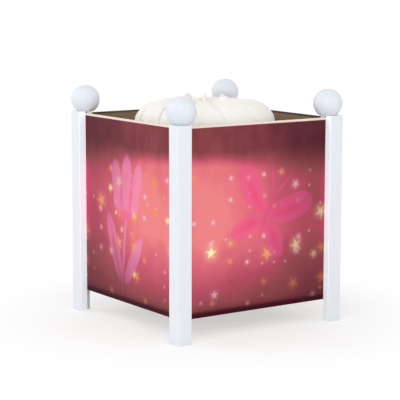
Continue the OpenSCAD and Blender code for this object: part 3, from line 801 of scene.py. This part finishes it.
class LANTERN_OT_drum(LanternStep):
    """Prints the film, finishes its rings and hub, and rivets the vanes to the upper ring"""

    bl_idname = "lantern.drum"
    bl_label = "Film drum"

    # half section of a rivet's head, as radius and height in mm
    rivet = ((0, -0.3), (1.0, -0.25), (1.15, 0.1), (0.95, 0.4), (0.5, 0.58), (0, 0.64))
    seam_start, seam_turn = 40, 7       # where the film's overlap starts and how far it goes
    seam_faces = (0.02 * MM, 0.28 * MM)
    seam_gap = 0.3 * MM
    ring_h = 5 * MM

    def rivets(self, white):
        low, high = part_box("drum_top_ring")
        verts, faces = turned([(a * MM, b * MM) for a, b in self.rivet], 12)
        place = Matrix.Translation((high.x, 0, (low.z + high.z) / 2))
        place @= Matrix.Rotation(math.pi / 2, 4, "Y")
        heads = new_piece("ring_rivets", [place @ Vector(v) for v in verts], faces, white)
        repeat_round(heads, 2 * sizes().vane_pairs, white)
        add_piece(heads, "drum", "drum_white")

    def seam(self):
        """The film's overlap, from one ring to the other."""
        low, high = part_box("drum_film")
        ends = low.z + self.ring_h + self.seam_gap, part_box("drum_top_ring")[0].z - self.seam_gap
        steps = 10
        verts, faces = [], []
        for z in ends:
            for i in range(steps + 1):
                a = math.radians(self.seam_start + self.seam_turn * i / steps)
                for q in self.seam_faces:
                    r = high.x + q
                    verts.append((r * math.cos(a), r * math.sin(a), z))
        wide = 2 * (steps + 1)
        for i in range(steps):
            for face in ((1, 3, 3 + wide, 1 + wide), (0, wide, 2 + wide, 2), (0, 2, 3, 1),
                         (wide, 1 + wide, 3 + wide, 2 + wide)):
                faces.append(tuple(2 * i + k for k in face))
        end = 2 * steps
        faces += [(0, 1, 1 + wide, wide), (end, end + wide, end + 1 + wide, end + 1)]
        tape = moulded("seam_tape", "e8b8b8", "d89a9e", 0.3)
        add_piece(new_piece("film_seam", verts, faces, tape, False), "drum", "drum_print")

    def execute(self, context):
        white = moulded("drum_moulding", "f2f0ea", "e4e0d4", 0.42)
        paint(film_print("film_print"), "drum_film")
        paint(white, "drum_hub", "drum_top_ring", "drum_bottom_ring")
        self.rivets(white)
        self.seam()
        return {"FINISHED"}


class LANTERN_OT_bulb(LanternStep):
    """Blows the bulb, rolls the thread of its cap and sleeve, and coils its filament"""

    bl_idname = "lantern.bulb"
    bl_label = "Bulb and sleeve"

    neck_r = 6.2 * MM
    glass_t = 0.9 * MM
    cap_thread = 0.45 * MM      # depth of a thread
    sleeve_thread = 0.35 * MM
    round_steps = 64            # points round a thread

    def glass(self, name, code, lit):
        f = Finish(name)
        smoke = f.ramp(f.noise(40, 3), 0.3, 0.7, 0.0, 0.5)
        height = f.split(f.place)[2]
        return f.show(f.principled(
            Base_Color=f.mix(smoke, code, "ffffff"), Roughness=0.12, IOR=1.45, Alpha=0.5,
            Emission_Color="ffd9a0",
            Emission_Strength=f.ramp(height, 70 * MM, 98 * MM, 0.1, lit)))

    def cap_metal(self, rim):
        """Rolled metal, with a black glass ring between the cap's rim and its contact."""
        f = Finish("cap_metal")
        z = f.split(f.place)[2]
        marks = f.noise(500, 4, (1, 1, 8))
        ring = f.times(f.ramp(z, rim + 0.5 * MM, rim + 0.3 * MM),
                       f.ramp(z, rim - 1.1 * MM, rim - 0.9 * MM))
        tone = f.mix(f.ramp(marks, 0.4, 0.7, 0, 0.3), "d2d2d4", "a6a6a8")
        return f.show(f.principled(
            Base_Color=f.mix(ring, tone, "22201e"), Metallic=f.minus(1.0, ring),
            Roughness=f.ramp(marks, 0.3, 0.7, 0.25, 0.4), Normal=f.bump(marks, 0.04 * MM, 0.4)))

    def hot_wire(self):
        """Dull wire that glows above its supports."""
        f = Finish("hot_wire")
        heat = f.ramp(f.split(f.place)[2], 97.5 * MM, 100 * MM)
        glow = f.mix(f.ramp(f.noise(300, 2), 0.3, 0.7), "ffcf80", "fff0c8")
        return f.show(f.principled(Base_Color="6a645c", Metallic=0.8, Roughness=0.4,
                                   Emission_Color=glow,
                                   Emission_Strength=f.ramp(heat, 0, 1, 0.0, 4.0)))

    def threaded(self, r, depth, low, high, outward=True):
        """A thin wall with a rolled screw thread, in rings from low to high."""
        pitch = sizes().thread_pitch
        rings = int(10 * (high - low) / pitch)
        verts = []
        for i in range(rings + 1):
            z = low + (high - low) * i / rings
            fade = min(1.0, 4 * i / rings, 4 * (rings - i) / rings)
            for k in range(self.round_steps):
                part = k / self.round_steps
                swing = 0.5 - 0.5 * math.cos(math.tau * ((z - low) / pitch - part))
                q = r - depth * swing * fade
                verts.append((q * math.cos(math.tau * part), q * math.sin(math.tau * part), z))
        return verts, band(self.round_steps, rings, outward)

    def blow_ball(self, low, centre, r):
        """The glass, with its inner wall and an open neck."""
        outer_neck, inner_neck = self.neck_r, self.neck_r - self.glass_t
        inner_r = r - self.glass_t
        neck_top = low + 2 * MM
        leave = 8 + math.degrees(math.asin(-math.sqrt(r * r - outer_neck * outer_neck) / r))
        profile = [(outer_neck, low), (outer_neck, neck_top)]
        profile += arc(0, centre, r, leave, 90, 40)[:-1] + [(0, centre + r)]
        profile += [(0, centre + inner_r)] + arc(0, centre, inner_r, 90, leave, 40)[1:]
        profile += [(inner_neck, neck_top), (inner_neck, low)]
        steps = 72
        verts, faces = turned(profile, steps)
        last = len(verts) - steps
        faces += [(k, last + k, last + (k + 1) % steps, (k + 1) % steps) for k in range(steps)]
        ball = new_piece("glass_ball", verts, faces, self.glass("bulb_glass_lit", "ffe9c8", 0.9))
        add_piece(ball, "bulb", "bulb_glass", "bulb_glass")

    def roll_cap(self):
        """The cap, from its contact up to the glass, in three bands that are merged."""
        low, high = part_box("bulb_cap")
        rim, top, r = low.z + 3 * MM, high.z, high.x
        thread_low, thread_top = rim + 1.4 * MM, rim + 17 * MM
        mouth_r, bevel = self.neck_r + 0.05 * MM, 0.3 * MM
        foot = turned([(0, low.z), (1.9 * MM, low.z + 0.6 * MM), (2.4 * MM, rim - 0.9 * MM),
                       (4.5 * MM, rim), (r - 0.4 * MM, rim + 0.7 * MM), (r, thread_low)],
                      self.round_steps)
        thread = self.threaded(r, self.cap_thread, thread_low, thread_top)
        collar = turned([(r, thread_top), (r, top - bevel), (r - bevel, top), (mouth_r, top),
                         (mouth_r, thread_top + 1 * MM)], self.round_steps)
        cap = new_piece("bulb_cap_rolled", *joined(foot, thread, collar), self.cap_metal(rim))
        shape = bmesh.new()
        shape.from_mesh(cap.data)
        bmesh.ops.remove_doubles(shape, verts=shape.verts, dist=0.02 * MM)
        shape.to_mesh(cap.data)
        shape.free()
        add_piece(cap, "bulb", "cap_metal", "bulb_cap")

    def roll_sleeve(self):
        """The holder's threaded sleeve, smooth inside, and its brass for the other small parts."""
        low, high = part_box("holder_sleeve")
        wall_out = self.threaded(high.x, self.sleeve_thread, low.z, high.z)
        wall_in = self.threaded(high.x - 0.5 * MM, 0.0, low.z, high.z, False)
        verts, faces = joined(wall_out, wall_in)
        half = len(verts) // 2
        for start, lower in ((0, True), (half - self.round_steps, False)):
            for k in range(self.round_steps):
                n = (k + 1) % self.round_steps
                face = (start + k, start + n, half + start + n, half + start + k)
                faces.append(face[::-1] if lower else face)
        brass = metal("turned_brass", "d9b45c", 0.28, (1, 1, 6), "9a7a3c")
        sleeve = new_piece("sleeve_rolled", verts, faces, brass)
        add_piece(sleeve, "root", "brass", "holder_sleeve")
        paint(brass, "holder_contact", "needle_boss", "bearing_cup")

    def coil_filament(self, centre):
        """The coiled wire in its arc, and its two supports."""
        low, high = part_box("bulb_filament")
        leg_r, coil_r, wire_r = 0.3 * MM, 0.55 * MM, 0.13 * MM
        half = (high.x - low.x) / 2 - leg_r
        turns, each = 46, 8
        path = []
        for i in range(turns * each + 1):
            a = math.pi * i / (turns * each)
            spin = math.tau * i / each
            q = half + coil_r * math.cos(spin)
            path.append((-q * math.cos(a), coil_r * math.sin(spin), centre + q * math.sin(a)))
        legs = [tube([(side * 1.3 * MM, 0, low.z), (side * half * 0.55, 0, (low.z + centre) / 2),
                      (side * half, 0, centre)], leg_r, 10) for side in (-1, 1)]
        verts, faces = joined(tube(path, wire_r, 6), *legs)
        coil = new_piece("filament_coil", verts, faces, self.hot_wire())
        add_piece(coil, "bulb", "filament_metal", "bulb_filament")

    def execute(self, context):
        low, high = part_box("bulb_glass")
        r = sizes().bulb_d / 2
        centre = high.z - r
        self.blow_ball(low.z, centre, r)
        paint(self.glass("stem_glass", "e6edf0", 0.2), "bulb_stem")
        self.roll_cap()
        self.roll_sleeve()
        self.coil_filament(centre)
        return {"FINISHED"}


class LANTERN_OT_fittings(LanternStep):
    """Finishes the holder, plate, screws, gland, bridge and needle"""

    bl_idname = "lantern.fittings"
    bl_label = "Fittings"

    def execute(self, context):
        paint(moulded("holder_plastic", "eae6da", "d8d2c2", 0.4), "holder_body")
        paint(moulded("gland_rubber", "dedede", "c6c6c6", 0.62, 90), "cord_gland")
        paint(metal("zinc_sheet", "c4c8cc", 0.34), "holder_plate")
        paint(metal("zinc_screw", "b8bcc0", 0.3, (1, 1, 5)), "board_screws", "plate_screws")
        paint(metal("bright_wire", "c8cacc", 0.24, (1, 1, 0.1)), "wire_bridge", "pivot_needle")
        return {"FINISHED"}


class LANTERN_OT_studio(LanternStep):
    """Sets the camera, the pale floor, the soft lights and the lamp inside"""

    bl_idname = "lantern.studio"
    bl_label = "Studio"

    # the camera: place in metres, then heading from +Y, pitch down and roll in degrees
    eye_place = (-0.7087, -1.0177, 0.2828)
    eye_turn = (34.672, 8.4785, 0.106)
    # each soft light: place in metres, power in watts and diameter in metres
    lights = {"key": ((-2.5, -1.6, 2.0), 34, 2.6), "fill": ((-0.7, -2.7, 1.9), 18, 2.6),
              "left": ((-1.9, 2.1, 1.6), 22, 2.4), "right": ((1.9, -2.2, 1.6), 10, 2.4)}
    target = (0, 0, 0.09)       # what the soft lights are aimed at
    filament = (0, 0, 0.098)
    world_light = 0.58          # strength of the white surroundings, other than as seen

    def camera(self, scene):
        heading, pitch, roll = (math.radians(a) for a in self.eye_turn)
        ahead = Vector((math.sin(heading) * math.cos(pitch),
                        math.cos(heading) * math.cos(pitch), -math.sin(pitch)))
        right = Vector((math.cos(heading), -math.sin(heading), 0))
        up = right.cross(ahead)
        side = right * math.cos(roll) + up * math.sin(roll)
        top = up * math.cos(roll) - right * math.sin(roll)
        data = bpy.data.cameras.new("view")
        data.sensor_width, data.lens = 36, 135
        data.clip_start, data.clip_end = 0.05, 60
        eye = bpy.data.objects.new("view", data)
        turn = Matrix((side, top, -ahead)).transposed().to_4x4()
        eye.matrix_world = Matrix.Translation(self.eye_place) @ turn
        scene.collection.objects.link(eye)
        scene.camera = eye

    def world(self, scene):
        """White where it is seen, also in gloss and through glass, and dimmer as a light."""
        world = bpy.data.worlds.new("studio")
        world.use_nodes = True
        tree = world.node_tree
        tree.nodes.clear()
        link = tree.links.new
        rays, sky, sink, seen, more, level = (tree.nodes.new(kind) for kind in (
            "ShaderNodeLightPath", "ShaderNodeBackground", "ShaderNodeOutputWorld",
            "ShaderNodeMath", "ShaderNodeMath", "ShaderNodeMapRange"))
        seen.operation = more.operation = "MAXIMUM"
        link(rays.outputs["Is Camera Ray"], seen.inputs[0])
        link(rays.outputs["Is Glossy Ray"], more.inputs[0])
        link(rays.outputs["Is Transmission Ray"], more.inputs[1])
        link(more.outputs[0], seen.inputs[1])
        link(seen.outputs[0], level.inputs["Value"])
        level.inputs["To Min"].default_value = self.world_light
        level.inputs["To Max"].default_value = 1.0
        link(level.outputs[0], sky.inputs["Strength"])
        sky.inputs["Color"].default_value = (1, 1, 1, 1)
        link(sky.outputs[0], sink.inputs[0])
        scene.world = world

    def floor(self):
        """Pale paper that keeps the shadow near the feet and fades to white round them."""
        f = Finish("paper_floor")
        x, y, z = f.split(f.place)
        away = f.math("SQRT", f.plus(f.times(x, x), f.times(y, y)))
        rays = f.add("ShaderNodeLightPath").outputs["Is Camera Ray"]
        fade = f.times(f.ramp(away, 0.06, 0.22, 0.5, 1.0), rays)
        mottle = f.ramp(f.noise(30, 3), 0.3, 0.7, 0, 0.3)
        tone = f.mix(mottle, (0.97, 0.97, 0.97), (0.955, 0.955, 0.96))
        paper = f.add("ShaderNodeBsdfDiffuse", {"Color": tone})
        white = f.add("ShaderNodeEmission", {"Color": (1, 1, 1), "Strength": 1.0})
        both = f.add("ShaderNodeMixShader", {0: fade, 1: paper.outputs[0], 2: white.outputs[0]})
        verts, faces = turned([(3.0, 0), (1.0, 0), (0.3, 0), (0, 0)], 96)
        new_piece("paper_floor", verts, faces, f.show(both))

    def light(self, scene, name, kind, place, power):
        data = bpy.data.lights.new(name, kind)
        data.energy = power
        lamp = bpy.data.objects.new(name, data)
        lamp.location = place
        scene.collection.objects.link(lamp)
        return lamp

    def execute(self, context):
        scene = context.scene
        self.camera(scene)
        scene.view_settings.view_transform = "Standard"
        self.world(scene)
        self.floor()
        for name, (place, power, width) in self.lights.items():
            lamp = self.light(scene, name, "AREA", place, power)
            lamp.data.shape, lamp.data.size = "DISK", width
            ahead = Vector(self.target) - lamp.location
            lamp.rotation_euler = ahead.to_track_quat("-Z", "Y").to_euler()
        lamp = self.light(scene, "bulb_light", "POINT", self.filament, 0.01)
        lamp.data.color, lamp.data.shadow_soft_size = tuple(colours().lamp), 0.012
        return {"FINISHED"}


class LANTERN_PT_sidebar(bpy.types.Panel):
    """The lantern's steps, sizes and colours"""

    bl_idname = "LANTERN_PT_sidebar"
    bl_label = "Turning lantern"
    bl_space_type = "VIEW_3D"
    bl_region_type = "UI"
    bl_category = "Lantern"

    def draw(self, context):
        for step in STEPS:
            self.layout.operator(step.bl_idname)
        for group in (context.scene.lantern_sizes, context.scene.lantern_colours):
            box = self.layout.box()
            for key in group.__annotations__:
                box.prop(group, key)


STEPS = (LANTERN_OT_studio, LANTERN_OT_posts, LANTERN_OT_finials, LANTERN_OT_panels,
         LANTERN_OT_crown, LANTERN_OT_drum, LANTERN_OT_bulb, LANTERN_OT_fittings)
CLASSES = (LanternSizes, LanternColours, *STEPS, LANTERN_PT_sidebar)


def register():
    for cls in CLASSES:
        bpy.utils.register_class(cls)
    bpy.types.Scene.lantern_sizes = PointerProperty(type=LanternSizes)
    bpy.types.Scene.lantern_colours = PointerProperty(type=LanternColours)


def unregister():
    del bpy.types.Scene.lantern_colours
    del bpy.types.Scene.lantern_sizes
    for cls in reversed(CLASSES):
        bpy.utils.unregister_class(cls)


def main():
    register()
    for step in STEPS:
        group, name = step.bl_idname.split(".")
        getattr(getattr(bpy.ops, group), name)()


if __name__ == "__main__":
    main()
